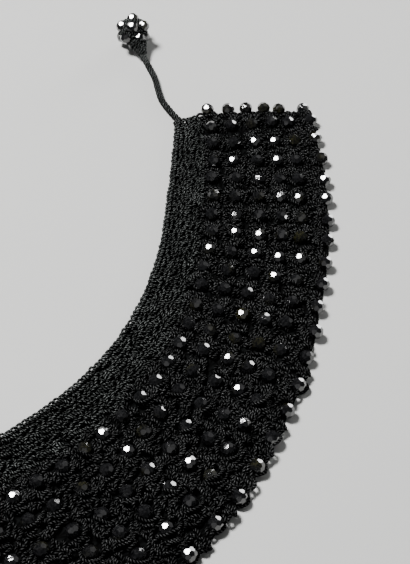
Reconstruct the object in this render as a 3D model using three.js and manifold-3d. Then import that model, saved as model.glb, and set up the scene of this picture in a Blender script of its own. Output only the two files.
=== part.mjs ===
// A crocheted collar set with faceted glass beads, laid flat with its neck opening towards +Y.
// Millimetres, +Z up. The origin is the middle of the base. The ball button lies off the right end,
// and the button loop closes the left end.
import * as THREE from 'three';
import { mergeVertices } from 'three/addons/utils/BufferGeometryUtils.js';
import Module from 'manifold-3d';

const SEAM_GAP = 0.3;

// The neck edge runs from the middle of the front to each end as three arcs, the same on both sides.
const NECK_FRONT_Y = -44.3;
const NECK_ARCS = [
  { part: 'front', radius: 89.3, degrees: 73.7 },
  { part: 'side', radius: 133, degrees: 11.6 },
  { part: 'back', radius: 1066, degrees: 2.4 },
];

// How wide the collar is along the neck edge: the distances from that edge out to the first and the
// last ring of beads, and how far a row of beads leans towards the end.
const WIDTHS = [
  { station: 0, firstRing: 18.2, lastRing: 61.0, leanDegrees: 0 },
  { station: 60, firstRing: 17.8, lastRing: 59.5, leanDegrees: 0 },
  { station: 90, firstRing: 16.6, lastRing: 51.5, leanDegrees: 0 },
  { station: 120, firstRing: 14.4, lastRing: 47.6, leanDegrees: 0 },
  { station: 145, firstRing: 13.8, lastRing: 47.2, leanDegrees: 0 },
  { station: 165, firstRing: 12.8, lastRing: 45.4, leanDegrees: 4 },
  { station: 181, firstRing: 11.2, lastRing: 42.0, leanDegrees: 10 },
  { station: 191, firstRing: 9.6, lastRing: 38.8, leanDegrees: 3 },
];

// Beads: a row is six beads from the neckband out to the edge.
const BEAD_RADIUS = 2;
const BEAD_SIDES = 6;
const ROWS_EACH_SIDE = 30;
const SPACING_LINE = 16; // the rows are evenly spaced along a line this far out from the neck edge
const NEXT_TO_END_ROW = 181.3; // the stations of the last two rows
const END_ROW = 191;
const RING_SHARES = [0, 0.2, 0.41, 0.595, 0.77, 1]; // where the six beads sit between first and last ring
const LAST_RING = RING_SHARES.length - 1;

// Heights of the beaded cloth: the hollow between four beads, and a bead's base and its flat top.
const HOLLOW_HEIGHT = 1.7;
const BEAD_BASE = { radius: 2.15, height: 1.9 };
const BEAD_TOP = { radius: 1.2, height: 4.15 };
const EDGE_BEYOND_BEAD = 0.7; // the cloth's edge between two edge beads, out from their centres
const FIRST_RING_MARGIN = 2.6; // from the neckband's seam to the centres of the first ring

// Neckband: rows of single crochet stand up as low ribs between the neck edge and the beaded cloth.
const BAND_RIBS = 4;
const BAND_RIB_HEIGHT = 2.1;
const BAND_GROOVE_HEIGHT = 1.6;
const BAND_EDGE_HEIGHT = 1.1;
const BAND_END = 186.2; // station of its end at the neck edge
const LAST_BAND_LINE = 28.5; // its last section before the end, which like the others lies between rows
const BAND_END_SLOPE = 0.35; // its end slants this far along for each millimetre out

// Button cord and loop, crocheted from the same thread.
const CORD_RADIUS = 1.05;
const CORD_SIDES = 8;
const CORD_STEPS = 12;
const CORD_ROUTE = [
  [94.5, 91.8, 1.1], [91.9, 95.9, 1.06], [89.0, 101.4, 1.06], [87.6, 106.6, 1.06], [86.4, 112.4, 1.1],
  [84.3, 117.9, 1.4], [82.3, 122.6, 2.3], [81.2, 125.3, 3.4],
];
const BALL_CENTRE = [79.0, 130.7];
const BALL_CORE_RADIUS = 4.3;
const BALL_BEADS_OUT = 3.95; // from the ball's centre to each bead's centre

// The loop is a round eye on two short legs, drawn with its root at 0, 0 and leaning in over the neck.
const LOOP_STEPS = 24;
const LOOP_ROOT_OUT = 3.9;
const LOOP_LEAN = 30;
const LOOP_STAND_OFF = 0.6; // its legs are cut square, so they start clear of the band's slanted end
const LOOP_LINE = [
  { across: -2.2, along: 0 }, { across: -2.4, along: 1.2 }, { across: -5.2, along: 4.6 },
  { across: -6.2, along: 8.4 }, { across: -4.4, along: 12.6 }, { across: 0, along: 14.4 },
  { across: 4.4, along: 12.6 }, { across: 6.2, along: 8.4 }, { across: 5.2, along: 4.6 },
  { across: 2.4, along: 1.2 }, { across: 2.2, along: 0 },
];

const THREAD = { color: 0x121314, roughness: 0.8, metalness: 0 };
const JET = { color: 0x08080a, roughness: 0.15, metalness: 0 };

const radians = THREE.MathUtils.degToRad;

// The point on the neck edge at a station, which is a length along it from the middle of the front and
// is negative on the left, and the heading there.
function neckEdge(station) {
  let x = 0;
  let y = NECK_FRONT_Y;
  let heading = 0;
  let left = Math.abs(station);
  NECK_ARCS.forEach(({ radius, degrees }, i) => {
    const last = i === NECK_ARCS.length - 1;
    const run = last ? left : Math.min(left, radius * radians(degrees));
    const next = heading + run / radius;
    x += radius * (Math.sin(next) - Math.sin(heading));
    y += radius * (Math.cos(heading) - Math.cos(next));
    heading = next;
    left -= run;
  });
  const side = Math.sign(station) || 1;
  return { x: side * x, y, heading: side * heading };
}

function widthsAt(station) {
  const s = Math.min(Math.abs(station), END_ROW);
  const i = Math.max(1, WIDTHS.findIndex((row) => row.station >= s));
  const [low, high] = [WIDTHS[i - 1], WIDTHS[i]];
  const share = (s - low.station) / (high.station - low.station);
  const mix = (column) => THREE.MathUtils.lerp(low[column], high[column], share);
  const lean = radians(mix('leanDegrees')) * (Math.sign(station) || 1);
  return { firstRing: mix('firstRing'), lastRing: mix('lastRing'), lean };
}

// A place on the collar: at a station of the neck edge, so far out from it, and along if need be.
function place(station, out, along = 0) {
  const { x, y, heading } = neckEdge(station);
  const shift = along + out * Math.tan(widthsAt(station).lean);
  return new THREE.Vector2(
    x + out * Math.sin(heading) + shift * Math.cos(heading),
    y - out * Math.cos(heading) + shift * Math.sin(heading),
  );
}

// The station of a row of beads. Rows count from the middle of the front, and half rows lie between.
function rowStation(row) {
  const whole = Math.abs(row);
  const lastEven = ROWS_EACH_SIDE - 1;
  const spread = (radius) => (radius + SPACING_LINE) / radius;
  const side = Math.sign(row);
  if (whole > lastEven) {
    return side * THREE.MathUtils.mapLinear(whole, lastEven, ROWS_EACH_SIDE, NEXT_TO_END_ROW, END_ROW);
  }
  let left = NEXT_TO_END_ROW;
  const runs = NECK_ARCS.map(({ radius, degrees }, i) => {
    const run = i === NECK_ARCS.length - 1 ? left : Math.min(left, radius * radians(degrees));
    left -= run;
    return { run, spread: spread(radius) };
  });
  const full = runs.reduce((sum, arc) => sum + arc.run * arc.spread, 0);
  let ahead = (full * whole) / lastEven;
  let station = 0;
  runs.forEach((arc) => {
    const step = Math.min(ahead, arc.run * arc.spread);
    station += step / arc.spread;
    ahead -= step;
  });
  return side * station;
}

// How far out from the neck edge a ring of beads lies. Half rings lie between.
function ringOut(ring, station) {
  const { firstRing, lastRing } = widthsAt(station);
  const low = Math.floor(ring);
  const high = Math.ceil(ring);
  const share = THREE.MathUtils.lerp(RING_SHARES[low], RING_SHARES[high], ring - low);
  return firstRing + share * (lastRing - firstRing);
}

// A surface under construction: points kept once by name, and triangles that face up.
class Surface {
  constructor() {
    this.points = [];
    this.names = new Map();
    this.triangles = [];
  }

  point(name, make) {
    if (!this.names.has(name)) {
      this.names.set(name, this.points.length);
      this.points.push(make());
    }
    return this.names.get(name);
  }

  // Fills between two lines of points that turn the same way round, the first one outside.
  bridge(outer, inner) {
    const steps = [outer.length - 1, inner.length - 1];
    let [o, i] = [0, 0];
    while (o < steps[0] || i < steps[1]) {
      const moveOuter = i === steps[1] || (o < steps[0] && (o + 0.5) / steps[0] <= (i + 0.5) / steps[1]);
      if (moveOuter) {
        this.triangles.push([outer[o], outer[o + 1], inner[i]]);
        o += 1;
      } else {
        this.triangles.push([outer[o], inner[i + 1], inner[i]]);
        i += 1;
      }
    }
  }

  // Closes the surface with upright edges and a plain flat underside at height 0.
  closedGeometry() {
    const edge = outlineOf(this.triangles);
    const under = edge.map((i) => {
      this.points.push(new THREE.Vector3(this.points[i].x, this.points[i].y, 0));
      return this.points.length - 1;
    });
    edge.forEach((a, i) => {
      const j = (i + 1) % edge.length;
      this.triangles.push([edge[j], a, under[i]], [edge[j], under[i], under[j]]);
    });
    const outline = edge.map((i) => new THREE.Vector2(this.points[i].x, this.points[i].y));
    THREE.ShapeUtils.triangulateShape(outline, []).forEach(([a, b, c]) => {
      this.triangles.push([under[a], under[c], under[b]]);
    });
    const geometry = new THREE.BufferGeometry().setFromPoints(this.points);
    geometry.setIndex(this.triangles.flat());
    return geometry.toNonIndexed();
  }
}

// The points round the outside of an open surface, in order: the edges that only one triangle has.
function outlineOf(triangles) {
  const edges = new Map();
  const sides = triangles.flatMap(([a, b, c]) => [[a, b], [b, c], [c, a]]);
  const known = new Set(sides.map(([a, b]) => `${a} ${b}`));
  sides.filter(([a, b]) => !known.has(`${b} ${a}`)).forEach(([a, b]) => edges.set(a, b));
  const start = edges.keys().next().value;
  const outline = [start];
  for (let at = edges.get(start); at !== start; at = edges.get(at)) outline.push(at);
  return outline;
}

// One bead's cell of the cloth, between four hollows, with the bead standing up in its middle. On the
// outer edge and at the two ends the bead itself is the edge, from one angle round to another.
function beadCell(surface, row, ring) {
  const station = rowStation(row);
  const centre = place(station, ringOut(ring, station));
  const { heading } = neckEdge(station);
  const circle = ({ radius, height }, level) => (degrees) => {
    const turn = radians(degrees) + heading - Math.PI / 2;
    return surface.point(`${level} ${row} ${ring} ${degrees % 360}`, () => new THREE.Vector3(
      centre.x + radius * Math.cos(turn),
      centre.y + radius * Math.sin(turn),
      height,
    ));
  };
  const hollow = (degrees) => {
    const [outward, onward] = [Math.cos(radians(degrees)) > 0, Math.sin(radians(degrees)) > 0];
    return hollowPoint(surface, row + (onward ? 0.5 : -0.5), ring + (outward ? 0.5 : -0.5));
  };
  // The cell has cloth round its bead from one corner's angle to another's, and a whole turn inside.
  const onEdge = ring === LAST_RING;
  let [from, to] = [225, 585];
  if (onEdge) [from, to] = [45, 315];
  if (row === ROWS_EACH_SIDE) [from, to] = [135, onEdge ? 315 : 405];
  if (row === -ROWS_EACH_SIDE) [from, to] = [onEdge ? 45 : 315, onEdge ? 225 : 585];
  const step = 360 / BEAD_SIDES;
  const whole = to - from === 360;
  const outer = Array.from({ length: (to - from) / 90 + 1 }, (_, i) => hollow(from + 90 * i));
  const first = Math.ceil((from - (whole ? 0 : step / 2)) / step) * step;
  const last = whole ? first + 360 : Math.floor((to + step / 2) / step) * step;
  const base = circle(BEAD_BASE, 'base');
  const top = circle(BEAD_TOP, 'top');
  const turns = (start, end) => Array.from({ length: (end - start) / step + 1 }, (_, i) => start + step * i);
  surface.bridge(outer, turns(first, last).map(base));
  surface.bridge(turns(0, 360).map(base), turns(0, 360).map(top));
  const cap = turns(0, 300).map(top);
  cap.slice(2).forEach((corner, i) => surface.triangles.push([cap[0], cap[i + 1], corner]));
}

function hollowPoint(surface, row, ring) {
  return surface.point(`hollow ${row} ${ring}`, () => {
    const beyondEnd = Math.abs(row) > ROWS_EACH_SIDE;
    const station = beyondEnd
      ? Math.sign(row) * END_ROW
      : (rowStation(row - 0.5) + rowStation(row + 0.5)) / 2;
    const along = beyondEnd ? Math.sign(row) * EDGE_BEYOND_BEAD : 0;
    let out = ringOut(THREE.MathUtils.clamp(ring, 0, LAST_RING), station);
    if (ring < 0) out -= FIRST_RING_MARGIN - SEAM_GAP;
    if (ring > LAST_RING) out += EDGE_BEYOND_BEAD;
    const { x, y } = place(station, out, along);
    return new THREE.Vector3(x, y, HOLLOW_HEIGHT);
  });
}

function beadedCloth() {
  const surface = new Surface();
  for (let row = -ROWS_EACH_SIDE; row <= ROWS_EACH_SIDE; row += 1) {
    RING_SHARES.forEach((_, ring) => beadCell(surface, row, ring));
  }
  return surface.closedGeometry();
}

const bandWidth = (station) => ringOut(0, station) - FIRST_RING_MARGIN;

// A place on the neckband's slanted end, on the right or the left (side 1 or -1), or beyond that end.
function endPlace(side, out, beyond = 0) {
  return place(side * (BAND_END + out * BAND_END_SLOPE + beyond), out);
}

// The neckband's section from the neck edge to its seam: a low rolled edge, then ribs and grooves.
function neckband() {
  const surface = new Surface();
  const section = [{ share: 0, height: BAND_EDGE_HEIGHT }];
  for (let rib = 0; rib < BAND_RIBS; rib += 1) {
    section.push({ share: (rib + 0.4) / BAND_RIBS, height: BAND_RIB_HEIGHT });
    section.push({ share: (rib + 1) / BAND_RIBS, height: BAND_GROOVE_HEIGHT });
  }
  const endWidth = bandWidth(BAND_END + BAND_END_SLOPE * bandWidth(BAND_END));
  const line = (row) => section.map(({ share, height }, i) => surface.point(`${row} ${i}`, () => {
    const atEnd = Math.abs(row) > LAST_BAND_LINE;
    const { x, y } = atEnd
      ? endPlace(Math.sign(row), share * endWidth)
      : place(rowStation(row), share * bandWidth(rowStation(row)));
    return new THREE.Vector3(x, y, height);
  }));
  for (let row = -LAST_BAND_LINE - 1; row <= LAST_BAND_LINE; row += 1) {
    const [before, after] = [line(row), line(row + 1)];
    for (let i = 0; i < section.length - 1; i += 1) {
      surface.triangles.push([before[i], before[i + 1], after[i + 1]], [before[i], after[i + 1], after[i]]);
    }
  }
  return surface.closedGeometry();
}

function cordAlong(points, steps) {
  const section = new THREE.Shape();
  for (let i = 0; i < CORD_SIDES; i += 1) {
    const turn = (2 * Math.PI * (i + 0.5)) / CORD_SIDES;
    const corner = [CORD_RADIUS * Math.cos(turn), CORD_RADIUS * Math.sin(turn)];
    if (i === 0) section.moveTo(...corner);
    else section.lineTo(...corner);
  }
  const extrudePath = new THREE.CatmullRomCurve3(points, false, 'centripetal');
  return new THREE.ExtrudeGeometry(section, { steps, bevelEnabled: false, extrudePath });
}

function buttonCord() {
  return cordAlong(CORD_ROUTE.map((point) => new THREE.Vector3(...point)), CORD_STEPS);
}

function buttonLoop() {
  const root = endPlace(-1, LOOP_ROOT_OUT, SEAM_GAP + LOOP_STAND_OFF);
  const turn = neckEdge(-BAND_END).heading + Math.PI - radians(LOOP_LEAN);
  const points = LOOP_LINE.map(({ across, along }) => new THREE.Vector3(
    root.x + along * Math.cos(turn) + across * Math.sin(turn),
    root.y + along * Math.sin(turn) - across * Math.cos(turn),
    CORD_RADIUS,
  ));
  return cordAlong(points, LOOP_STEPS);
}

// A crocheted core with a bead at each of an icosahedron's twelve corners, as one solid.
async function ballButton() {
  const wasm = await Module();
  wasm.setup();
  const solid = (geometry) => {
    geometry.deleteAttribute('normal');
    geometry.deleteAttribute('uv');
    const merged = mergeVertices(geometry);
    return new wasm.Manifold(new wasm.Mesh({
      numProp: 3,
      vertProperties: merged.attributes.position.array,
      triVerts: Uint32Array.from(merged.index ? merged.index.array : []),
    }));
  };
  const corners = mergeVertices(new THREE.IcosahedronGeometry(BALL_BEADS_OUT, 0).deleteAttribute('normal')
    .deleteAttribute('uv')).attributes.position;
  let ball = solid(new THREE.IcosahedronGeometry(BALL_CORE_RADIUS, 2));
  for (let i = 0; i < corners.count; i += 1) {
    const bead = new THREE.IcosahedronGeometry(BEAD_RADIUS, 1);
    bead.translate(corners.getX(i), corners.getY(i), corners.getZ(i));
    ball = ball.add(solid(bead));
  }
  const { vertProperties, triVerts } = ball.getMesh();
  const geometry = new THREE.BufferGeometry();
  geometry.setAttribute('position', new THREE.BufferAttribute(vertProperties, 3));
  geometry.setIndex(new THREE.BufferAttribute(triVerts, 1));
  return geometry;
}

function piece(name, geometry, finish) {
  const mesh = new THREE.Mesh(geometry, new THREE.MeshStandardMaterial(finish));
  mesh.name = name;
  return mesh;
}

const ball = piece('ball_button', await ballButton(), JET);
ball.geometry.computeBoundingBox();
ball.position.set(...BALL_CENTRE, -ball.geometry.boundingBox.min.z);

const group = new THREE.Group();
group.add(
  piece('neckband', neckband(), THREAD),
  piece('beaded_cloth', beadedCloth(), THREAD),
  piece('button_cord', buttonCord(), THREAD),
  ball,
  piece('button_loop', buttonLoop(), THREAD),
);

export default group;
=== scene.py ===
"""A crocheted collar of black thread set with faceted glass beads, laid flat.

Metres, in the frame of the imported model. Sizes are written in millimetres and turned to metres as they are
used. Stations are lengths along the neck edge from the middle of the front, negative on the left.
"""

import math

import bmesh
import bpy
import numpy as np
from mathutils import Matrix, Vector


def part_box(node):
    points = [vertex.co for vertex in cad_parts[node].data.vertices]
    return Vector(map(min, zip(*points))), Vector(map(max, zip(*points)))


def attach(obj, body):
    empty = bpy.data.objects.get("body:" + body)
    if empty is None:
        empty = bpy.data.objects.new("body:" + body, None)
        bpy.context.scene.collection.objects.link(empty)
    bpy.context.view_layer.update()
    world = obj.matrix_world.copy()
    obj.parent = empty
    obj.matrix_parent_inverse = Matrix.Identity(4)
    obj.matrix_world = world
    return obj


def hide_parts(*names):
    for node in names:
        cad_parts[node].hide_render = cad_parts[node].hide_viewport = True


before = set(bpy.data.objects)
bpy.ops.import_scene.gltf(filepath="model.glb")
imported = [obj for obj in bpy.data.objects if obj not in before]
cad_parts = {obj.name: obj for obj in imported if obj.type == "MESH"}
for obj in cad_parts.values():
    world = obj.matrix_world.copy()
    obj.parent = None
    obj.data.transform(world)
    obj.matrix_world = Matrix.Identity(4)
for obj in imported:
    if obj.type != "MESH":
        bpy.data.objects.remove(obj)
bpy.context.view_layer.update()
MM = 0.001


# --- Camera ---------------------------------------------------------------------------------------------
# It looks down on the right half of the collar from in front, so the back corner with its ball is uppermost.
CAMERA_PLACE = (0.1025, -0.2428, 0.298)
CAMERA_DOWN = 48  # degrees below level

camera = bpy.data.objects.new("camera", bpy.data.cameras.new("camera"))
camera.location = CAMERA_PLACE
camera.rotation_euler = (math.radians(90 - CAMERA_DOWN), 0, 0)
camera.data.lens = 91.4
camera.data.sensor_width = 36
bpy.context.scene.collection.objects.link(camera)
bpy.context.scene.camera = camera


# --- Button cord ----------------------------------------------------------------------------------------
# A cord crocheted as a double chain from the neckband's thread. It leaves the back corner, lies on the
# table and climbs into the ball button. Each link is one loop of thread seen as a V, over a core of thread.
CORD_RADIUS = 1.05
CORD_ROUTE = [
    (94.5, 91.8, 1.1), (91.9, 95.9, 1.06), (89.0, 101.4, 1.06), (87.6, 106.6, 1.06), (86.4, 112.4, 1.1),
    (84.3, 117.9, 1.4), (82.3, 122.6, 2.3), (81.2, 125.3, 3.4),
]
CORD_THREAD = 0.38  # radius of the finer thread of cord, ball and neckband
CORD_CORE = 0.55  # radius of the thread inside the chains
CORD_LINK = 1.7  # one chain link's length
CHAIN_WIDTH, CHAIN_DEPTH, CHAIN_LIFT = 0.62, 0.8, 0.1  # a link's size across and through, and its rise
LINE_STEP = 0.6  # between the points of a smoothed line
# The seen part of one loop: up the left leg and down the right one, with both ends tucked under.
V_STITCH = [(-0.55, 1.85, -0.55), (-0.98, 0.95, 0.4), (-0.6, -0.2, 0.5), (0, -1.05, -0.35),
            (0.6, -0.2, 0.5), (0.98, 0.95, 0.4), (0.55, 1.85, -0.55)]
V_PITCH, V_WIDTH = 2.0, 2.6  # the room that one V takes along and across its row


def dye(code):
    """An sRGB hex colour as linear light."""
    levels = [int(code[i:i + 2], 16) / 255 for i in (1, 3, 5)]
    return tuple(v / 12.92 if v <= 0.04045 else ((v + 0.055) / 1.055) ** 2.4 for v in levels) + (1,)


def add(tree, kind, inputs=(), **settings):
    """Adds a node. inputs is {socket's name or number: value, or the output that feeds it}."""
    node = tree.nodes.new(kind)
    for key, value in settings.items():
        setattr(node, key, value)
    for key, value in dict(inputs).items():
        if isinstance(value, bpy.types.NodeSocket):
            tree.links.new(value, node.inputs[key])
        else:
            node.inputs[key].default_value = value
    return node


def worked_out(tree, operation, *values):
    """The result of a Math node."""
    return add(tree, "ShaderNodeMath", dict(enumerate(values)), operation=operation).outputs[0]


def between(tree, share, first, second):
    """The colour that lies a share of the way from one hex colour to another."""
    return add(tree, "ShaderNodeMix", {"Factor": share, 6: dye(first), 7: dye(second)},
               data_type="RGBA").outputs[2]


def patches(tree, size, detail):
    """Soft patches of light and dark on a piece, of about a size in millimetres."""
    at = add(tree, "ShaderNodeTexCoord").outputs["Object"]
    return add(tree, "ShaderNodeTexNoise", {"Vector": at, "Scale": 1 / (size * MM),
                                            "Detail": detail}).outputs["Fac"]


def new_finish(name):
    """A material and its node tree, still empty."""
    material = bpy.data.materials.new(name)
    material.use_nodes = True
    material.node_tree.nodes.clear()
    return material, material.node_tree


def mercerised_thread(name, groove, crown, lobe, full_light_height, narrow, gloss):
    """Mercerised crochet cotton, two plies twisted together and singed smooth, so each ply glints.

    lobe is the length along the thread from one ply to the next. The plies are followed by the attributes
    run, the length along the thread, and around, the direction out from the thread's middle. Each ply's
    crown is painted in the crown colour, a painted highlight, over the groove colour of black thread. The
    height after lobe is where that painted highlight is full; deeper in the cloth the thread is painted
    darker, a painted shade. narrow is the share of a ply's roundness left dark, and gloss the specular level
    on its crown.
    """
    material, tree = new_finish(name)
    run = add(tree, "ShaderNodeAttribute", attribute_name="run")
    around = add(tree, "ShaderNodeAttribute", attribute_name="around")
    side = add(tree, "ShaderNodeSeparateXYZ", {0: around.outputs["Vector"]})
    angle = worked_out(tree, "ARCTAN2", side.outputs["Y"], side.outputs["X"])
    twist = worked_out(tree, "MULTIPLY_ADD", run.outputs["Fac"], -math.pi / (lobe * MM), angle)
    ply = worked_out(tree, "ABSOLUTE", worked_out(tree, "SINE", twist))
    # Single fibres are far too fine to show, so their unevenness is drawn at a third of a millimetre.
    fray = add(tree, "ShaderNodeMapRange", {"Value": patches(tree, 0.33, 2), "From Min": 0.35,
                                            "From Max": 0.6, "To Min": 0.35})
    # Some stitches show a stronger painted highlight and gloss than others, in patches.
    bright = add(tree, "ShaderNodeMapRange", {"Value": patches(tree, 3.4, 1), "From Min": 0.35,
                                              "From Max": 0.68, "To Min": 0.36, "To Max": 0.86})
    # Threads lower in the cloth are painted darker, down to 0.15 of the highlight at 0.8 mm high: a painted
    # shade.
    up = add(tree, "ShaderNodeSeparateXYZ", {0: add(tree, "ShaderNodeTexCoord").outputs["Object"]})
    high = add(tree, "ShaderNodeMapRange", {"Value": up.outputs["Z"], "From Min": 0.8 * MM,
                                            "From Max": full_light_height * MM, "To Min": 0.15})
    most = worked_out(tree, "MULTIPLY", fray.outputs[0], bright.outputs[0])
    painted_sheen = worked_out(tree, "MULTIPLY", most, high.outputs[0])
    # tone is the painted highlight on each ply's crown, in the base colour; it also sets the crown's gloss.
    tone = add(tree, "ShaderNodeMapRange", {"Value": ply, "From Min": narrow, "From Max": 1.0,
                                            "To Max": painted_sheen}, interpolation_type="SMOOTHSTEP")
    relief = add(tree, "ShaderNodeBump", {"Height": ply, "Strength": 1, "Distance": 0.3 * MM})
    matt = add(tree, "ShaderNodeMapRange", {"Value": tone.outputs[0], "From Max": 0.25, "To Min": 0.95,
                                            "To Max": 0.38})
    shader = add(tree, "ShaderNodeBsdfPrincipled", {
        "Base Color": between(tree, tone.outputs[0], groove, crown), "Roughness": matt.outputs[0],
        "IOR": 1.55, "Specular IOR Level": worked_out(tree, "MULTIPLY", tone.outputs[0], gloss),
        "Normal": relief.outputs[0],
    })
    add(tree, "ShaderNodeOutputMaterial", {0: shader.outputs[0]})
    return material


def new_tree(name, given, made):
    """A Geometry Nodes tree, its inputs by name from {name: kind of socket}, with one output of geometry."""
    tree = bpy.data.node_groups.new(name, "GeometryNodeTree")
    for label, kind in given.items():
        tree.interface.new_socket(name=label, in_out="INPUT", socket_type="NodeSocket" + kind)
    tree.interface.new_socket(name=made, in_out="OUTPUT", socket_type="NodeSocketGeometry")
    return tree, add(tree, "NodeGroupInput").outputs


def laid_out(tree, places, shape, **settings):
    """A shape on every place, turned and sized as the place's attributes say, as real geometry."""
    turn = add(tree, "GeometryNodeInputNamedAttribute", {"Name": "turn"}, data_type="FLOAT_VECTOR")
    turned = add(tree, "FunctionNodeEulerToRotation", {0: turn.outputs["Attribute"]})
    size = add(tree, "GeometryNodeInputNamedAttribute", {"Name": "size"}, data_type="FLOAT_VECTOR")
    laid = add(tree, "GeometryNodeInstanceOnPoints", {
        "Points": places, "Instance": shape, "Rotation": turned.outputs[0],
        "Scale": size.outputs["Attribute"], **settings,
    })
    return add(tree, "GeometryNodeRealizeInstances", {0: laid.outputs[0]}).outputs[0]


def crochet_tree():
    """Geometry Nodes that lay one loop of thread at each place: points in, tubes of thread out."""
    tree, given = new_tree("crochet", {
        "Places": "Geometry", "Stitches": "Collection", "Thread radius": "Float", "Thread sides": "Int",
        "Smoothness": "Int", "Wander": "Float", "Shake": "Float", "Seed": "Float", "Thread": "Material",
    }, "Cloth")
    kinds = add(tree, "GeometryNodeCollectionInfo",
                {"Collection": given["Stitches"], "Separate Children": True, "Reset Children": True})
    kind = add(tree, "GeometryNodeInputNamedAttribute", {"Name": "stitch"}, data_type="INT")
    loops = laid_out(tree, given["Places"], kinds.outputs[0],
                     **{"Pick Instance": True, "Instance Index": kind.outputs["Attribute"]})
    smooth = add(tree, "GeometryNodeCurveSplineType", {"Curve": loops}, spline_type="CATMULL_ROM")
    fine = add(tree, "GeometryNodeSetSplineResolution",
               {0: smooth.outputs[0], "Resolution": given["Smoothness"]})
    place = add(tree, "GeometryNodeInputPosition")
    last = fine.outputs[0]
    for amount, length in (("Wander", 7), ("Shake", 1.6)):
        noise = add(tree, "ShaderNodeTexNoise", {
            "Vector": place.outputs[0], "W": given["Seed"], "Scale": 1 / (length * MM), "Detail": 0,
        }, noise_dimensions="4D")
        middle = add(tree, "ShaderNodeVectorMath", {0: noise.outputs["Color"], 1: (0.5, 0.5, 0.5)},
                     operation="SUBTRACT")
        shift = add(tree, "ShaderNodeVectorMath", {0: middle.outputs[0], "Scale": given[amount]},
                    operation="SCALE")
        last = add(tree, "GeometryNodeSetPosition", {0: last, "Offset": shift.outputs[0]}).outputs[0]
    # No thread sinks into the table under the cloth.
    at = add(tree, "ShaderNodeSeparateXYZ", {0: place.outputs[0]})
    lowest = worked_out(tree, "ADD", given["Thread radius"], 0.15 * MM)
    height = worked_out(tree, "MAXIMUM", at.outputs["Z"], lowest)
    above = add(tree, "ShaderNodeCombineXYZ", {"X": at.outputs["X"], "Y": at.outputs["Y"], "Z": height})
    last = add(tree, "GeometryNodeSetPosition", {0: last, "Position": above.outputs[0]}).outputs[0]
    run = add(tree, "GeometryNodeSplineParameter")
    marked = add(tree, "GeometryNodeStoreNamedAttribute",
                 {"Geometry": last, "Name": "run", "Value": run.outputs["Length"]}, data_type="FLOAT")
    ring = add(tree, "GeometryNodeCurvePrimitiveCircle",
               {"Resolution": given["Thread sides"], "Radius": given["Thread radius"]})
    out = add(tree, "ShaderNodeVectorMath", {0: add(tree, "GeometryNodeInputPosition").outputs[0]},
              operation="NORMALIZE")
    rim = add(tree, "GeometryNodeStoreNamedAttribute",
              {"Geometry": ring.outputs["Curve"], "Name": "around", "Value": out.outputs[0]},
              data_type="FLOAT_VECTOR")
    tube = add(tree, "GeometryNodeCurveToMesh",
               {"Curve": marked.outputs[0], "Profile Curve": rim.outputs[0], "Fill Caps": True})
    shaded = add(tree, "GeometryNodeSetShadeSmooth", {0: tube.outputs[0]})
    real = add(tree, "GeometryNodeRealizeInstances", {0: shaded.outputs[0]})
    dressed = add(tree, "GeometryNodeSetMaterial",
                  {"Geometry": real.outputs[0], "Material": given["Thread"]})
    add(tree, "NodeGroupOutput", {0: dressed.outputs[0]})
    return tree


def stitch_kinds(name, *lines):
    """A collection of stitches, each an open line of points in millimetres."""
    kinds = bpy.data.collections.new(name)
    for i, line in enumerate(lines):
        curve = bpy.data.curves.new(f"{name}_{i}", "CURVE")
        curve.dimensions = "3D"
        spline = curve.splines.new("POLY")
        spline.points.add(len(line) - 1)
        for point, at in zip(spline.points, line):
            point.co = (*(v * MM for v in at), 1)
        kinds.objects.link(bpy.data.objects.new(curve.name, curve))
    return kinds


def grown(piece, tree, inputs):
    """Gives a piece the mesh that a Geometry Nodes tree grows from it."""
    bpy.context.scene.collection.objects.link(piece)
    modifier = piece.modifiers.new(tree.name, "NODES")
    modifier.node_group = tree
    for socket in tree.interface.items_tree:
        if socket.in_out == "INPUT" and socket.name in inputs:
            modifier[socket.identifier] = inputs[socket.name]
    depsgraph = bpy.context.evaluated_depsgraph_get()
    mesh = bpy.data.meshes.new_from_object(piece.evaluated_get(depsgraph), preserve_all_data_layers=True,
                                           depsgraph=depsgraph)
    piece.modifiers.clear()
    piece.data = mesh
    mesh.name = piece.name
    return piece


def places_of(name, places):
    """Points for a tree to work on. A place is (kind, point in mm, turn in radians, size)."""
    mesh = bpy.data.meshes.new(name)
    mesh.from_pydata([tuple(v * MM for v in point) for _, point, _, _ in places], [], [])
    mesh.attributes.new("stitch", "INT", "POINT").data.foreach_set("value", [p[0] for p in places])
    for label, column in (("turn", 2), ("size", 3)):
        values = np.array([p[column] for p in places], float).ravel()
        mesh.attributes.new(label, "FLOAT_VECTOR", "POINT").data.foreach_set("vector", values)
    return bpy.data.objects.new(name, mesh)


def crocheted(name, places, kinds, thread, radius, sides=5, smoothness=2, wander=0.0, shake=0.0, seed=0):
    """One piece of crochet with a loop of thread at each place."""
    return grown(places_of(name, places), CROCHET, {
        "Stitches": kinds, "Thread radius": radius * MM, "Thread sides": sides, "Smoothness": smoothness,
        "Wander": wander * MM, "Shake": shake * MM, "Seed": float(seed), "Thread": thread,
    })


def smooth_line(points, step):
    """A Catmull-Rom line through points, with a point about every step."""
    p = np.array(points, float)
    p = np.vstack([2 * p[0] - p[1], p, 2 * p[-1] - p[-2]])
    line = []
    for a, b, c, d in zip(p, p[1:], p[2:], p[3:]):
        count = max(2, round(float(np.linalg.norm(c - b)) / step))
        for t in np.arange(count) / count:
            line.append(0.5 * (2 * b + (c - a) * t + (2 * a - 5 * b + 4 * c - d) * t ** 2
                               + (3 * b - a - 3 * c + d) * t ** 3))
    return np.array(line + [p[-2]])


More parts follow.
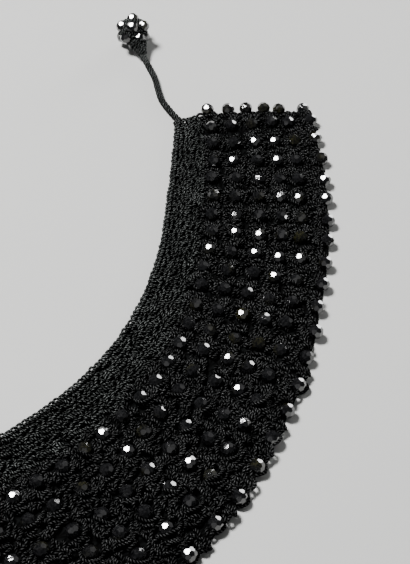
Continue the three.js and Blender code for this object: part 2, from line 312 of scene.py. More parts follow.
def along_line(line, pitch, start=0.0):
    """Places every pitch along a line: (point, direction)."""
    steps = np.linalg.norm(np.diff(line, axis=0), axis=1)
    reach = np.concatenate([[0], np.cumsum(steps)])
    for at in np.arange(start, reach[-1] - 1e-6, pitch):
        point = [np.interp(at, reach, line[:, k]) for k in range(3)]
        i = min(len(steps) - 1, int(np.searchsorted(reach, at, "right")) - 1)
        yield Vector(point), Vector(line[i + 1] - line[i]).normalized()


def lay(direction, up):
    """The turn that lays a stitch's length (its y) along direction and its face (its z) up."""
    x = direction.cross(up).normalized()
    z = x.cross(direction).normalized()
    return tuple(Matrix((x, direction, z)).transposed().to_euler())


def double_chain(line):
    """Places for a cord: a chain of V stitches on top and another, half a link on, underneath."""
    size = (CHAIN_WIDTH, CORD_LINK / V_PITCH, CHAIN_DEPTH)
    for side, start in ((1, 0.0), (-1, CORD_LINK / 2)):
        for point, direction in along_line(line, CORD_LINK, start):
            up = (Vector((0, 0, side)) - direction * direction.z * side).normalized()
            yield 0, point + up * CHAIN_LIFT, lay(direction, up), size


def crocheted_cord(name, line):
    """A cord along a line as two pieces: its double chain and the plain thread inside it."""
    chain = crocheted(f"{name}_chain", list(double_chain(line)), CHAIN, fine_thread, CORD_THREAD, sides=6,
                      shake=0.1)
    core = crocheted(f"{name}_core", [(0, (0, 0, 0), (0, 0, 0), (1, 1, 1))],
                     stitch_kinds(f"{name}_inside", line[::3]), fine_thread, CORD_CORE, sides=6)
    return chain, core


CROCHET = crochet_tree()
CHAIN = stitch_kinds("chain", V_STITCH)
# Black thread with its ply crowns painted light grey: a painted highlight for the gloss of mercerised
# cotton.
fine_thread = mercerised_thread("mercerised_cotton_fine", "#000000", "#686c6a", 0.76, 2.6, 0.62, 0.6)
collar_thread = mercerised_thread("mercerised_cotton", "#010101", "#3b3c3c", 0.8, 2.7, 0.52, 0.38)

cord_line = smooth_line(CORD_ROUTE, LINE_STEP)
button_cord, cord_core = crocheted_cord("button_cord", cord_line)
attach(button_cord, "root")
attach(cord_core, "root")
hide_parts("button_cord")


# --- Ball button ----------------------------------------------------------------------------------------
# A ball crocheted over a scrap of its own thread, with twelve faceted beads sewn round it. The cord's end
# widens into it as a short cone of stitches.
BALL_CORE = 4.0
BALL_BEADS_OUT = 3.95  # from the ball's centre to each bead's centre
BALL_STITCHES, BALL_V = 64, (0.75, 0.75, 0.8)  # the V stitches round the ball and their size
STEM_RINGS = [(-2.6, 0.9, 5), (-1.4, 1.15, 6), (-0.3, 1.5, 7), (0.8, 2.0, 9)]  # along, radius, stitches
STEM_V = (0.5, 0.65, 0.7)
BEAD_RADIUS = 2.0
BEAD_CORNERS_OUT = 1.03  # how far a bead's corners stand out, as a share of its radius
CORNER_GROUND = 0.39  # how far along each edge of the twenty-sided solid its corners are ground away
low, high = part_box("ball_button")
BALL_CENTRE = (low + high) / 2 / MM
GOLDEN = (1 + math.sqrt(5)) / 2
corners = []
for a in (-1, 1):
    for b in (-GOLDEN, GOLDEN):
        corners += [Vector((a, b, 0)), Vector((0, a, b)), Vector((b, 0, a))]
corners = [c.normalized() for c in corners]


def faceted_bead():
    """A fire-polished bead of thirty-two facets: a twenty-sided solid with its twelve corners ground away.

    The thread's holes are smaller than a facet and hidden by the thread, so they are left out.
    """
    neighbours = min((a - b).length for a in corners for b in corners if a != b) * 1.01
    shape = bmesh.new()
    for a in corners:
        for b in corners:
            if a != b and (a - b).length < neighbours:
                shape.verts.new(a.lerp(b, CORNER_GROUND).normalized() * BEAD_RADIUS * BEAD_CORNERS_OUT * MM)
    bmesh.ops.convex_hull(shape, input=shape.verts)
    bmesh.ops.dissolve_limit(shape, angle_limit=0.02, verts=shape.verts, edges=shape.edges)
    bmesh.ops.recalc_face_normals(shape, faces=shape.faces)
    mesh = bpy.data.meshes.new("faceted_bead")
    shape.to_mesh(mesh)
    shape.free()
    return bpy.data.objects.new("faceted_bead", mesh)


def bead_tree():
    """Geometry Nodes that set one bead at each place, turned and sized as its attributes say."""
    tree, given = new_tree("beads", {"Places": "Geometry", "Bead": "Object", "Glass": "Material"}, "Beads")
    bead = add(tree, "GeometryNodeObjectInfo", {"Object": given["Bead"]})
    sewn = laid_out(tree, given["Places"], bead.outputs["Geometry"])
    flat = add(tree, "GeometryNodeSetShadeSmooth", {0: sewn, "Shade Smooth": False})
    dressed = add(tree, "GeometryNodeSetMaterial", {"Geometry": flat.outputs[0], "Material": given["Glass"]})
    add(tree, "NodeGroupOutput", {0: dressed.outputs[0]})
    return tree


def jet_glass():
    """Fire-polished black glass: heat has given its ground facets a wet gloss and made them a bit wavy."""
    material, tree = new_finish("fire_polished_jet_glass")
    # Beads differ a little from black to olive glass, a few neighbours at a time.
    olive = add(tree, "ShaderNodeMapRange", {"Value": patches(tree, 9, 1), "From Min": 0.56,
                                             "From Max": 0.7})
    # Dust and fine scratches, together with a painted reflection of the surroundings, lighten the facets to
    # grey in patches of about half a millimetre.
    dust_and_reflection = add(tree, "ShaderNodeMapRange", {"Value": patches(tree, 0.6, 2), "From Min": 0.4,
                                            "From Max": 0.65})
    colour = add(tree, "ShaderNodeMix", {
        "Factor": dust_and_reflection.outputs[0], 6: dye("#040405"),
        7: between(tree, olive.outputs[0], "#1a1a1b", "#262512"),
    }, data_type="RGBA")
    # Fire polishing leaves the facets faintly wavy, over a little less than a millimetre.
    melt = patches(tree, 0.8, 1)
    relief = add(tree, "ShaderNodeBump", {"Height": melt, "Strength": 0.6, "Distance": 0.075 * MM})
    gloss = add(tree, "ShaderNodeMapRange", {"Value": melt, "To Min": 0.03, "To Max": 0.1})
    shader = add(tree, "ShaderNodeBsdfPrincipled", {
        "Base Color": colour.outputs[2], "Roughness": gloss.outputs[0], "IOR": 1.56,
        "Normal": relief.outputs[0], "Coat Weight": 0.7, "Coat Roughness": 0.05, "Coat IOR": 1.8,
    })
    add(tree, "ShaderNodeOutputMaterial", {0: shader.outputs[0]})
    return material


# A facet glints where it faces halfway between a softbox and the camera. Some of the beads have come to rest
# with a hexagon facet turned that way.
HIGH_LAMP = Vector((-0.35, 0.25, 1.0))
BALL_DULL_SHARE = 0.4  # of the ball's beads, besides those on its far side
FAR_SIDE = 0.2  # the far side's beads face away from the glint's way by more than this cosine
FACET_UP = Vector((1, 1, 1)).rotation_difference(Vector((0, 0, 1))).to_matrix()


def glint_way(at, lamp):
    """The way that a facet at a place in millimetres faces to mirror a lamp."""
    at = Vector(at) * MM
    return ((lamp - at).normalized() + (camera.location - at).normalized()).normalized()


def bead_turn(hole, way):
    """The turn that puts a bead's hole along a direction and a hexagon facet as near as can be to way."""
    facet = (way - hole * way.dot(hole)).normalized()
    return tuple((Matrix((hole, facet.cross(hole), facet)).transposed() @ FACET_UP).to_euler())


BEADS = bead_tree()
glass = jet_glass()
bead = faceted_bead()
chance = np.random.default_rng(11)

ball_places = []
for out in corners:
    at = BALL_CENTRE + out * BALL_BEADS_OUT
    way = glint_way(at, HIGH_LAMP)
    if chance.random() < BALL_DULL_SHARE or out.dot(way) < FAR_SIDE:
        way = out.orthogonal()
    hole = (Matrix.Rotation(chance.uniform(0, 2 * math.pi), 3, way) @ way.orthogonal()).normalized()
    ball_places.append((0, at, bead_turn(hole, way), (1, 1, 1)))
ball_beads = grown(places_of("ball_button_beads", ball_places), BEADS, {"Bead": bead, "Glass": glass})

core_places = []
for i in range(BALL_STITCHES):
    z = 1 - (2 * i + 1) / BALL_STITCHES
    turn = i * math.pi * (3 - math.sqrt(5))
    out = Vector((math.sqrt(1 - z * z) * math.cos(turn), math.sqrt(1 - z * z) * math.sin(turn), z))
    direction = (Matrix.Rotation(chance.uniform(0, 2 * math.pi), 3, out) @ out.orthogonal()).normalized()
    core_places.append((0, BALL_CENTRE + out * BALL_CORE, lay(direction, out), BALL_V))
stem_end = Vector(cord_line[-1])
stem_axis = (Vector(BALL_CENTRE) - stem_end).normalized()
for ring, (step, radius, count) in enumerate(STEM_RINGS):
    for i in range(count):
        turn = 2 * math.pi * (i + ring / 2) / count
        out = (Matrix.Rotation(turn, 3, stem_axis) @ stem_axis.orthogonal()).normalized()
        core_places.append((0, stem_end + stem_axis * step + out * radius, lay(stem_axis, out), STEM_V))
ball_core = crocheted("ball_button_crochet", core_places, CHAIN, fine_thread, CORD_THREAD, shake=0.3)

bpy.ops.mesh.primitive_ico_sphere_add(subdivisions=3, radius=BALL_CORE * MM, location=BALL_CENTRE * MM)
ball_stuffing = bpy.context.object
ball_stuffing.name = "ball_button_stuffing"
ball_stuffing.data.transform(Matrix.Translation(ball_stuffing.location))
ball_stuffing.location = (0, 0, 0)
ball_stuffing.data.shade_smooth()


def packed_thread():
    """The same cotton wound close inside the ball: dull, dark, with faint coils a thread apart."""
    material, tree = new_finish("mercerised_cotton_deep")
    place = add(tree, "ShaderNodeTexCoord")
    coil = add(tree, "ShaderNodeTexWave", {"Vector": place.outputs["Object"], "Scale": 1 / (9 * MM),
                                           "Distortion": 12, "Detail": 2, "Detail Scale": 1.5},
               wave_type="BANDS", bands_direction="DIAGONAL")
    relief = add(tree, "ShaderNodeBump", {"Height": coil.outputs["Fac"], "Strength": 0.8,
                                          "Distance": 0.3 * MM})
    # The coils are painted a shade lighter on their ridges than between them: painted shade between the
    # coils.
    shader = add(tree, "ShaderNodeBsdfPrincipled", {
        "Base Color": between(tree, coil.outputs["Fac"], "#050606", "#121414"), "Roughness": 0.75,
        "IOR": 1.5, "Normal": relief.outputs[0], "Sheen Weight": 0.1,
    })
    add(tree, "ShaderNodeOutputMaterial", {0: shader.outputs[0]})
    return material


ball_stuffing.data.materials.append(packed_thread())
for piece, finish in ((ball_beads, "jet_glass"), (ball_core, "thread"), (ball_stuffing, "thread")):
    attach(piece, "root")
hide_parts("ball_button")
tuple(v * MM for v in CORD_ROUTE[0])


# --- Collar cloth ---------------------------------------------------------------------------------------
# The cloth under the stitches: one crocheted sheet from the neck edge to the outer edge, flat underneath
# where it lies on the table, and sunk on top between the beads and between the neckband's ribs.
NECK_FRONT_Y = -44.3  # where the neck edge crosses the middle of the front
NECK_ARCS = [(89.3, 73.7), (133, 11.6), (1066, 2.4)]  # radius, degrees: front, side and back of the neck
WIDTHS = [  # station, first and last ring's distance from the neck edge, lean of a row in degrees
    (0, 18.2, 61.0, 0), (60, 17.8, 59.5, 0), (90, 16.6, 51.5, 0), (120, 14.4, 47.6, 0),
    (145, 13.8, 47.2, 0), (165, 12.8, 45.4, 4), (181, 11.2, 42.0, 10), (191, 9.6, 38.8, 3),
]
ROWS_EACH_SIDE = 30
LAST_RING = 5
SPACING_LINE = 16  # rows are even along a line this far out
NEXT_TO_END_ROW, END_ROW = 181.3, 191  # stations of the last two rows
RING_SHARES = [0, 0.2, 0.41, 0.595, 0.77, 1]
EDGE_FROM_BEAD = 0.5  # from the last ring's beads to the cloth's outer edge
END_FROM_BEAD = -0.4  # from the last row's beads to the cloth's end, under their inner halves
FIRST_RING_MARGIN = 2.6  # from the neckband's seam to the first ring
BAND_END, BAND_END_SLOPE = 186.2, 0.35  # station of the neckband's end at the neck edge, and its slant
LAST_SQUARE_ROW = 28.5  # from this row on the sheet fans out to the slanted end
SLANT_FADE = 1.2  # the stretch over which the end turns from slanted to straight
BAND_HEIGHT, BAND_RIBS, RIB_HEIGHT = 1.25, 4, 0.2
FIRST_RIB = 0.1  # how far out the first rib lies, as a share of the band's width
CLOTH_HEIGHT, RING_HOLLOW, ROW_HOLLOW = 1.3, 0.25, 0.15
RIM_HEIGHT, RIM_WIDTH = 0.35, 1.2  # the sheet is rounded down to its rim


def arc_runs(length):
    """The radius of each arc of the neck edge, and how much of it a length from the front takes up."""
    for i, (radius, degrees) in enumerate(NECK_ARCS):
        run = length if i == len(NECK_ARCS) - 1 else min(length, radius * math.radians(degrees))
        yield radius, run
        length -= run


def neck_edge(station):
    """The neck edge's point and heading at a station."""
    x, y, heading = 0.0, NECK_FRONT_Y, 0.0
    for radius, run in arc_runs(abs(station)):
        onward = heading + run / radius
        x += radius * (math.sin(onward) - math.sin(heading))
        y += radius * (math.cos(heading) - math.cos(onward))
        heading = onward
    side = -1 if station < 0 else 1
    return side * x, y, side * heading


def widths_at(station):
    """First ring, last ring and lean in radians at a station."""
    s = min(abs(station), END_ROW)
    first, last, lean = (np.interp(s, [w[0] for w in WIDTHS], [w[k] for w in WIDTHS]) for k in (1, 2, 3))
    return float(first), float(last), math.radians(lean) * (-1 if station < 0 else 1)


def place(station, out, along=0.0):
    """A place on the collar, so far out from the neck edge at a station."""
    x, y, heading = neck_edge(station)
    shift = along + out * math.tan(widths_at(station)[2])
    return (x + out * math.sin(heading) + shift * math.cos(heading),
            y - out * math.cos(heading) + shift * math.sin(heading))


def row_station(row):
    """The station of a row of beads, counted from the middle of the front."""
    whole, last_even, side = abs(row), ROWS_EACH_SIDE - 1, -1 if row < 0 else 1
    if whole > last_even:
        return side * (NEXT_TO_END_ROW + (whole - last_even) * (END_ROW - NEXT_TO_END_ROW))
    runs = [(run, (radius + SPACING_LINE) / radius) for radius, run in arc_runs(NEXT_TO_END_ROW)]
    ahead, station = sum(run * spread for run, spread in runs) * whole / last_even, 0.0
    for run, spread in runs:
        step = min(ahead, run * spread)
        station += step / spread
        ahead -= step
    return side * station


def ring_out(ring, station):
    """How far out a ring of beads lies. Part rings lie between."""
    first, last, _ = widths_at(station)
    return first + float(np.interp(ring, range(len(RING_SHARES)), RING_SHARES)) * (last - first)


def band_width(station):
    """The neckband's width, from the neck edge to its seam with the beaded cloth."""
    return ring_out(0, station) - FIRST_RING_MARGIN


def end_station(out):
    """Where the cloth ends at a distance out: slanted along the neckband, then straight."""
    seam = band_width(BAND_END)
    slanted = BAND_END + BAND_END_SLOPE * out
    past = min(1.0, max(0.0, (out - seam + SLANT_FADE / 2) / SLANT_FADE))
    return slanted + past * (END_ROW + END_FROM_BEAD - slanted)


def station_at(row, out):
    """The station of a part row. Past the last whole stretch it runs up to the slanted end."""
    if abs(row) <= LAST_SQUARE_ROW:
        return row_station(row)
    start = row_station(LAST_SQUARE_ROW)
    share = (abs(row) - LAST_SQUARE_ROW) / (ROWS_EACH_SIDE + 0.5 - LAST_SQUARE_ROW)
    return (1 if row > 0 else -1) * (start + share * (end_station(out) - start))


def cloth_shell():
    """The sheet as a closed shell, with a UV map in metres along and across the crochet."""
    per_row, across = 4, 30  # steps of the sheet's mesh from row to row, and from edge to edge
    columns = (2 * ROWS_EACH_SIDE + 1) * per_row
    top, flat_uv = [], []
    for i in range(columns + 1):
        row = -ROWS_EACH_SIDE - 0.5 + i / per_row
        whole_row = max(-ROWS_EACH_SIDE, min(ROWS_EACH_SIDE, row))
        edge = ring_out(LAST_RING, row_station(whole_row)) + EDGE_FROM_BEAD
        for j in range(across + 1):
            # The points lie a little closer together at both edges.
            out = edge * (0.5 - 0.5 * math.cos(math.pi * j / across)) * 0.4 + edge * 0.6 * j / across
            station = station_at(row, out)
            x, y = place(station, out)
            seam = band_width(station)
            if out < seam:
                rib = BAND_RIBS * (out / seam - FIRST_RIB)
                height = BAND_HEIGHT + RIB_HEIGHT * math.cos(2 * math.pi * rib)
            else:
                rings = range(LAST_RING + 1)
                ring = float(np.interp(out, [ring_out(k, station) for k in rings], rings))
                height = (CLOTH_HEIGHT + RING_HOLLOW * math.cos(2 * math.pi * ring)
                          + ROW_HOLLOW * math.cos(2 * math.pi * row))
            from_rim = min(out, edge - out)
            if abs(row) > ROWS_EACH_SIDE - 1:
                from_rim = min(from_rim, abs(abs(station) - end_station(out)))
            roll = math.sqrt(1 - (1 - min(1.0, max(0.0, from_rim) / RIM_WIDTH)) ** 2)
            top.append((x * MM, y * MM, (RIM_HEIGHT + (height - RIM_HEIGHT) * roll) * MM))
            flat_uv.append((station * MM, out * MM))
    under = [(x, y, 0) for x, y, _ in top]
    n, wide = len(top), across + 1
    faces = []
    for i in range(columns):
        for j in range(across):
            a, b, c, d = i * wide + j, (i + 1) * wide + j, (i + 1) * wide + j + 1, i * wide + j + 1
            faces += [(d, c, b, a), (n + a, n + b, n + c, n + d)]
    border = [i * wide for i in range(columns)] + [columns * wide + j for j in range(across)]
    border += [i * wide + across for i in range(columns, 0, -1)] + list(range(across, 0, -1))
    for a, b in zip(border, border[1:] + border[:1]):
        faces.append((a, b, n + b, n + a))
    mesh = bpy.data.meshes.new("collar_cloth")
    mesh.from_pydata(top + under, [], faces)
    uv = mesh.uv_layers.new(name="crochet")
    corner = np.zeros(len(mesh.loops), int)
    mesh.loops.foreach_get("vertex_index", corner)
    uv.data.foreach_set("uv", np.array(flat_uv + flat_uv)[corner].ravel())
    mesh.shade_smooth()
    mesh.update()
    return bpy.data.objects.new("collar_cloth", mesh)


def crocheted_ground():
    """The collar's cloth behind its front stitches and underneath: rows of small Vs of black cotton."""
    material, tree = new_finish("mercerised_cotton_crochet")
    flat = add(tree, "ShaderNodeUVMap", uv_map="crochet")
    row = add(tree, "ShaderNodeSeparateXYZ", {0: flat.outputs[0]})
    stitch, rows = 2.2 * MM, 2.6 * MM  # a single crochet's width and height
    up = worked_out(tree, "MULTIPLY", row.outputs["Y"], 1 / rows)
    away = worked_out(tree, "SUBTRACT", worked_out(tree, "FRACT", up), 0.5)
    leg = worked_out(tree, "ABSOLUTE", away)
    onward = worked_out(tree, "MULTIPLY_ADD", row.outputs["X"], 1 / stitch, leg)
    turn = worked_out(tree, "MULTIPLY", onward, math.pi)
    plump = worked_out(tree, "ABSOLUTE", worked_out(tree, "SINE", turn))
    # A V thins away where it meets the next row's.
    body = worked_out(tree, "MINIMUM", worked_out(tree, "MULTIPLY_ADD", leg, -3.2, 1.6), 1.0)
    height = worked_out(tree, "MULTIPLY", plump, body)
    relief = add(tree, "ShaderNodeBump", {"Height": height, "Strength": 1, "Distance": 0.5 * MM})
    # The Vs' hollows are painted black and their crowns a shade lighter: painted shade in the hollows.
    shader = add(tree, "ShaderNodeBsdfPrincipled", {
        "Base Color": between(tree, height, "#000000", "#080909"), "Roughness": 0.8, "IOR": 1.5,
        "Normal": relief.outputs[0], "Specular IOR Level": 0.04,
    })
    add(tree, "ShaderNodeOutputMaterial", {0: shader.outputs[0]})
    return material


collar_cloth = cloth_shell()
bpy.context.scene.collection.objects.link(collar_cloth)
collar_cloth.data.materials.append(crocheted_ground())
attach(collar_cloth, "root")
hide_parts("neckband", "beaded_cloth")


# --- Neckband -------------------------------------------------------------------------------------------
# Rows of close single crochet in the finer thread along the neck edge, behind a raised turning chain at the
# edge itself. Each stitch shows as a small V lying along the row.
FEWEST_ROWS, BAND_ROWS = 3, 5  # rows behind the edge's chain: the last ones stop short of the narrow back
ROW_PITCH = 2.3
ROW_GROWTH = 0.09  # the band's outer row has this share more stitches than its edge
BAND_STITCH = 1.7  # a stitch's length along the band
EDGE_CHAIN_OUT, EDGE_CHAIN_WIDTH, FIRST_ROW_OUT = 0.75, 0.6, 1.7
EDGE_CHAIN_HEIGHT, ROW_HEIGHT, END_CHAIN_HEIGHT = 2.15, 1.65, 1.6
BAND_V_LENGTH, BAND_V_DEPTH = 0.85, 0.85  # sizes of the band's V stitches
ROWS_SHORT, END_CHAIN_IN = 1.3, 0.7  # from the band's end to its rows and to the chain that closes it
END_CHAIN_FROM, END_CHAIN_SHORT = 1.2, 0.4  # from the neck edge and the seam to that chain's ends
band_places = []
chance = np.random.default_rng(23)
for line in range(BAND_ROWS + 1):
    edge = line == 0
    loose = 0.3 if edge else 1.0  # the edge's chain is even, the rows behind it less so
    span = row_station(ROWS_EACH_SIDE)
    count = round(2 * span * (1 + ROW_GROWTH * line / BAND_ROWS) / BAND_STITCH)
    for i in range(count + 1):
        station = span * (2 * i / count - 1)
        depth = band_width(station) - FIRST_ROW_OUT
        rows = min(BAND_ROWS, max(FEWEST_ROWS, round(depth / ROW_PITCH)))
        out = EDGE_CHAIN_OUT if edge else FIRST_ROW_OUT + (line - 0.5) / rows * depth
        if line > rows or abs(station) > BAND_END + BAND_END_SLOPE * out - ROWS_SHORT:
            continue
        x, y = place(station + chance.normal(0, 0.2 * loose), out + chance.normal(0, 0.15 * loose))
        way = neck_edge(station)[2] + (math.pi / 2 if line % 2 else -math.pi / 2)
        wide = EDGE_CHAIN_WIDTH if edge else depth / rows / V_WIDTH
        rise = EDGE_CHAIN_HEIGHT if edge else ROW_HEIGHT + 0.15 * chance.normal()
        band_places.append((0, (x, y, rise), (chance.normal(0, 0.25 * loose), chance.normal(0, 0.25 * loose),
                                              way + chance.normal(0, 0.3 * loose)),
                            (wide, BAND_V_LENGTH, BAND_V_DEPTH)))
for side in (-1, 1):  # a chain closes each slanted end
    for out in np.arange(END_CHAIN_FROM, band_width(BAND_END) - END_CHAIN_SHORT, BAND_STITCH):
        station = side * (BAND_END + BAND_END_SLOPE * out - END_CHAIN_IN)
        x, y = place(station, out)
        way = neck_edge(station)[2] + side * math.atan(BAND_END_SLOPE)
        band_places.append((0, (x, y, END_CHAIN_HEIGHT),
                            (chance.normal(0, 0.15), chance.normal(0, 0.15), way),
                            (EDGE_CHAIN_WIDTH, BAND_V_LENGTH, BAND_V_DEPTH)))
half = len(band_places) // 2  # the band is made as two pieces, each with half of its stitches
halves = {"neckband_edge": band_places[:half], "neckband_rows": band_places[half:]}
neckband = [crocheted(name, places, CHAIN, fine_thread, CORD_THREAD, wander=0.4, shake=0.6, seed=3)
            for name, places in halves.items()]
for piece in neckband:
    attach(piece, "root")


# --- Beaded cloth ---------------------------------------------------------------------------------------
# Thicker loops of the collar's thread round and between the beads: a chain on the neck side of each bead,
# a column of Vs between one bead and the next, and a loose loop over its outer side.
THREAD = 0.47
ARC = [(-2.2, -0.2, -0.9), (-2.2, 0.8, 0.15), (-1.3, 1.9, 0.6), (0, 2.35, 0.75), (1.3, 1.9, 0.6),
       (2.2, 0.8, 0.15), (2.2, -0.2, -0.9)]
BAR = [(-2.6, -0.2, -0.7), (-1.7, 0.1, 0.35), (-0.5, -0.15, 0.6), (0.7, 0.15, 0.6), (1.8, -0.1, 0.3),
       (2.6, 0.2, -0.7)]
LOOPS = stitch_kinds("loops", V_STITCH, ARC, BAR)
V, ROUND, ACROSS = 0, 1, 2
# Kind, along and out as shares of the cell, height, turn in degrees, size along its width and length.
CLOSE_CELL = [
    (V, 0.4, -0.23, 2.1, 10, 0.95, 0.9), (V, 0.35, -0.02, 2.3, 170, 0.95, 0.9),
    (V, 0.43, 0.2, 2.1, -15, 0.95, 0.9), (V, 0.2, -0.3, 2.1, -50, 0.8, 0.8),
    (V, 0.2, 0.31, 2.0, -120, 0.85, 0.9), (V, -0.04, -0.4, 1.6, 70, 0.8, 0.9),
    (V, 0.1, 0.42, 1.5, 100, 0.8, 0.9), (ROUND, 0.0, 0.0, 1.5, 0, 1.0, 0.9),
    (V, 0.4, 0.05, 1.6, 90, 0.8, 0.9), (V, -0.36, -0.22, 1.0, 75, 0.8, 1.0),
    (V, -0.36, 0.18, 1.0, 100, 0.8, 1.0),
]
LOOSE_CELL = [
    (V, 0.5, -0.34, 1.8, 10, 1.0, 1.0), (V, 0.46, -0.02, 2.0, 170, 1.0, 1.0),
    (V, 0.53, 0.26, 1.8, -15, 1.0, 1.0), (V, -0.25, -0.38, 1.8, 80, 0.95, 1.0),
    (V, 0.08, -0.43, 1.8, 100, 0.95, 1.0), (V, 0.32, -0.3, 2.0, -50, 0.85, 0.9),
    (V, -0.33, 0.1, 1.3, 130, 0.9, 0.9), (ROUND, 0.0, 0.1, 1.6, 180, 1.15, 1.1),
    (ROUND, 0.05, 0.0, 2.1, 175, 1.15, 1.3), (ACROSS, 0.0, 0.46, 1.3, 0, 1.1, 1.0),
    (V, 0.33, 0.2, 1.6, -70, 0.9, 0.9),
]
WIDE_GAP_CELL = [  # more Vs where the last ring lies further from the one before
    (V, -0.2, -0.26, 1.6, 110, 0.9, 0.95), (V, 0.12, -0.3, 1.7, 60, 0.9, 0.95),
    (V, -0.35, -0.5, 1.5, 15, 0.95, 0.95), (V, 0.25, -0.52, 1.6, 165, 0.95, 0.95),
]
FIRST_CELL_IN, LAST_CELL_OUT = 3.3, 2.4  # from the first and last rings' beads to their cells' borders
STITCH_INSET = 0.9  # tight stitches end this far inside the last ring's beads
LOOSE_PAST_EDGE = 0.3  # loose ones may lie this far outside them
END_INSET = 0.54  # from the cloth's end to the middle of the last stitches
CLOSE_ROWS = (12, 18)  # the rows over which the crochet tightens towards the back
LOOP_CELL_WIDTH = 7.8  # the cell in which a loop round a bead keeps its own width
DROPPED_SHARE = 0.08  # of the Vs, which lie too deep in the cloth to show
# The chain that closes each end: from V to V, inwards from the beads, its height and its Vs' size.
END_CHAIN_PITCH, END_CHAIN_FROM_BEAD, END_CHAIN_RISE, END_V = 1.9, 2.0, 1.5, (0.75, 0.95, 0.9)
FIRST_END_V_IN = 1.6  # from the first ring's bead towards the neck to the first of those Vs
EDGE_LOOP_HEIGHT, EDGE_LOOP = 1.25, (0.95, 0.92, 0.8)  # the loose loop outside each last bead
BEAD_HEIGHT, LOWEST_BEAD, GLINT_HEIGHT = 2.25, 2.1, 2.2
# Spreads of what is left to chance, in millimetres and radians.
BEAD_STRAY, BEAD_HEIGHT_STRAY, HOLE_TILT, HOLE_TURN, GLINT_STRAY = 0.3, 0.12, 0.25, 0.5, 0.08
STITCH_STRAY, STITCH_LIFT, STITCH_TILT, STITCH_TURN = 0.2, 0.12, 0.22, 0.3
LUMP, LUMP_STRAY, LUMP_MOST = 0.2, 0.3, 0.5  # the crochet stands higher in one cell than in the next

# Over a quarter of the beads have a facet turned to the high softbox. So have most beads along the two ends,
# and most of the outermost ring have one turned to a low softbox beyond the edge.
GLINT_SHARE, EDGE_GLINT_SHARE = 0.28, 0.85
LOW_LAMP = Vector((0.48, 0.6, 0.17))


def sewn_bead(x, y, heading, at_edge, lamp):
    """A bead's place. Its hole lies roughly along its row, and chance turns it about that."""
    hole = Vector((math.cos(heading), math.sin(heading), chance.normal(0, HOLE_TILT)))
    hole = (Matrix.Rotation(chance.normal(0, HOLE_TURN), 3, "Z") @ hole).normalized()
    way = Matrix.Rotation(chance.uniform(0, 2 * math.pi), 3, hole) @ hole.orthogonal()
    if chance.random() < (EDGE_GLINT_SHARE if at_edge else GLINT_SHARE):
        glint = glint_way((x, y, GLINT_HEIGHT), lamp)
        way = Matrix.Rotation(chance.normal(0, GLINT_STRAY), 3, hole) @ glint
        hole = (hole - glint * hole.dot(glint)).normalized()
    height = max(LOWEST_BEAD, BEAD_HEIGHT + chance.normal(0, BEAD_HEIGHT_STRAY))
    return 0, (x, y, height), bead_turn(hole, way), (1, 1, 1)


def end_chain(station, out, first_in, last_in):
    """Places of the chain that closes the cloth's end, from first_in to last_in inwards of a bead."""
    heading = neck_edge(station)[2]
    for inwards in np.arange(first_in, last_in, -END_CHAIN_PITCH):
        x, y = place(station, out - inwards, -math.copysign(END_CHAIN_FROM_BEAD, station))
        yield (V, (x, y, END_CHAIN_RISE + chance.normal(0, 0.1)),
               (chance.normal(0, 0.2), 0, heading + chance.normal(0, 0.2)), END_V)


chance = np.random.default_rng(7)
bead_places, ring_places = [], []
for ring in range(LAST_RING + 1):
    places, last_ring = [], ring == LAST_RING
    ring_places.append(places)
    for row in range(-ROWS_EACH_SIDE, ROWS_EACH_SIDE + 1):
        station = row_station(row)
        heading = neck_edge(station)[2]
        out = ring_out(ring, station)
        wide = math.dist(place(row_station(row - 0.5), out), place(row_station(row + 0.5), out))
        inner = ring_out(ring - 0.5, station) if ring else out - FIRST_CELL_IN
        outer = out + LAST_CELL_OUT if last_ring else ring_out(ring + 0.5, station)
        shift = chance.normal(0, BEAD_STRAY, 2)
        x, y = place(station, out + shift[0], shift[1])
        at_end = abs(row) == ROWS_EACH_SIDE
        lamp = LOW_LAMP if last_ring else HIGH_LAMP
        bead_places.append(sewn_bead(x, y, heading, last_ring or at_end, lamp))
        tight = (abs(row) - CLOSE_ROWS[0]) / (CLOSE_ROWS[1] - CLOSE_ROWS[0]) > chance.random()
        if at_end:
            places += end_chain(station, out, out - inner if ring else FIRST_END_V_IN,
                                inner - out if last_ring else out - outer)
        if last_ring and not tight:
            places.append((ROUND, (x, y, EDGE_LOOP_HEIGHT), (chance.normal(0, 0.15), 0, heading + math.pi),
                           EDGE_LOOP))
        cell = (CLOSE_CELL if tight else LOOSE_CELL) + (WIDE_GAP_CELL if last_ring else [])
        lump = LUMP + min(LUMP_MOST, max(-LUMP_MOST, chance.normal(0, LUMP_STRAY)))
        for kind, along, across, rise, turn, width, length in cell:
            u = along * wide + shift[1] + chance.normal(0, STITCH_STRAY)
            v = 2 * across * (outer - out if across > 0 else out - inner) + shift[0]
            v += chance.normal(0, STITCH_STRAY)
            beyond_edge = last_ring and (across > 0 if tight else across > 0.3 or kind != V)
            if last_ring:
                v = min(v, -STITCH_INSET if tight else LOOSE_PAST_EDGE)
                turn = turn - 180 if abs(turn) > 90 else turn
            beyond_end = abs(station) + math.copysign(u, u * row) > end_station(out + v) - END_INSET
            if beyond_edge or beyond_end or kind == V and chance.random() < DROPPED_SHARE:
                continue
            px, py = place(station, out + v, u)
            places.append((kind, (px, py, rise + lump + chance.normal(0, STITCH_LIFT)),
                           (chance.normal(0, STITCH_TILT), chance.normal(0, STITCH_TILT),
                            heading + math.radians(turn) + chance.normal(0, STITCH_TURN)),
                           (width * (1 if kind == V else wide / LOOP_CELL_WIDTH), length, 0.9)))
for ring, places in enumerate(ring_places):
    piece = crocheted(f"stitches_ring_{ring + 1}", places, LOOPS, collar_thread, THREAD, wander=0.8,
                      shake=1.0, seed=ring)
    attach(piece, "root")


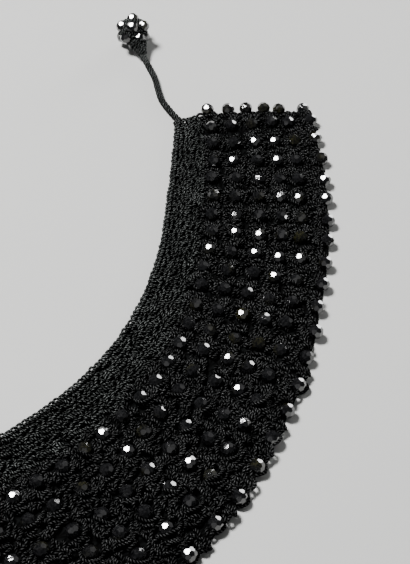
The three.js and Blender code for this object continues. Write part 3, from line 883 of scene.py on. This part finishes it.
# --- Beads of the cloth ---------------------------------------------------------------------------------
# Three hundred and sixty-six faceted glass beads, four millimetres across, each held by the thread through
# its hole, so they lie turned every way about it and sit half sunk in the stitches.
cloth_beads = grown(places_of("cloth_beads", bead_places), BEADS, {"Bead": bead, "Glass": glass})
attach(cloth_beads, "root")


# --- Button loop ----------------------------------------------------------------------------------------
# A round eye of the same double chain on two short legs at the left end, just wide enough for the ball.
LOOP_LINE = [  # across and along from its root
    (-2.2, 0), (-2.4, 1.2), (-5.2, 4.6), (-6.2, 8.4), (-4.4, 12.6), (0, 14.4),
    (4.4, 12.6), (6.2, 8.4), (5.2, 4.6), (2.4, 1.2), (2.2, 0),
]
LOOP_ROOT_OUT, LOOP_STAND_OFF = 3.9, 0.9  # its root's place out from the neck edge, and off the band's end
LOOP_LEAN = 30  # degrees that it turns to the neck from the band's own direction

root_x, root_y = place(-(BAND_END + LOOP_ROOT_OUT * BAND_END_SLOPE + LOOP_STAND_OFF), LOOP_ROOT_OUT)
turn = neck_edge(-BAND_END)[2] + math.pi - math.radians(LOOP_LEAN)
loop_route = [(root_x + along * math.cos(turn) + across * math.sin(turn),
               root_y + along * math.sin(turn) - across * math.cos(turn), CORD_RADIUS)
              for across, along in LOOP_LINE]
button_loop, loop_core = crocheted_cord("button_loop", smooth_line(loop_route, LINE_STEP))
for piece in (button_loop, loop_core):
    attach(piece, "root")
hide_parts("button_loop")


# --- Table ----------------------------------------------------------------------------------------------
# A plain board painted matt pale grey, wide enough to fill the camera's view. It is only the stage, a tenth
# of a millimetre under the collar.
BOARD_REACH, BOARD_TOP = 3, -0.0001  # in metres

table_mesh = bpy.data.meshes.new("table")
table_mesh.from_pydata([(x * BOARD_REACH, y * BOARD_REACH, BOARD_TOP)
                        for x, y in ((-1, -1), (1, -1), (1, 1), (-1, 1))], [], [(0, 1, 2, 3)])
table = bpy.data.objects.new("table", table_mesh)
bpy.context.scene.collection.objects.link(table)
board, tree = new_finish("matt_painted_board")
grain = add(tree, "ShaderNodeTexNoise", {"Scale": 40, "Detail": 3})
paint = add(tree, "ShaderNodeBsdfPrincipled", {
    "Base Color": between(tree, grain.outputs["Fac"], "#c4c4c2", "#c8c8c6"), "Roughness": 0.8,
})
add(tree, "ShaderNodeOutputMaterial", {0: paint.outputs[0]})
table_mesh.materials.append(board)


# --- Lights ---------------------------------------------------------------------------------------------
# Two softboxes that the facets mirror as white glints, a bright one high at the back left and a weak one low
# beyond the outer edge, two wide weak ones at the back right and in front, and a pale surround.
SOFTBOXES = [  # name, place, what it is turned to, width, power in watts
    ("key", HIGH_LAMP, (0.03, 0, 0), 0.3, 28),
    ("fill", (0.9, 0.5, 0.9), (0.03, 0, 0), 1.5, 1.5),
    ("rim", LOW_LAMP, (0.1, 0.05, 0), 0.26, 1.7),
    ("front", (-0.2, -0.9, 0.75), (0.05, 0, 0), 0.9, 0.7),
]
for name, at, towards, width, power in SOFTBOXES:
    lamp = bpy.data.lights.new(name, "AREA")
    lamp.shape, lamp.size, lamp.energy = "DISK", width, power
    light = bpy.data.objects.new(name, lamp)
    light.location = at
    light.rotation_euler = (Vector(towards) - Vector(at)).to_track_quat("-Z", "Y").to_euler()
    bpy.context.scene.collection.objects.link(light)
world = bpy.data.worlds.new("studio")
world.use_nodes = True
world.node_tree.nodes["Background"].inputs["Color"].default_value = dye("#dfe3e6")
world.node_tree.nodes["Background"].inputs["Strength"].default_value = 0.06
bpy.context.scene.world = world
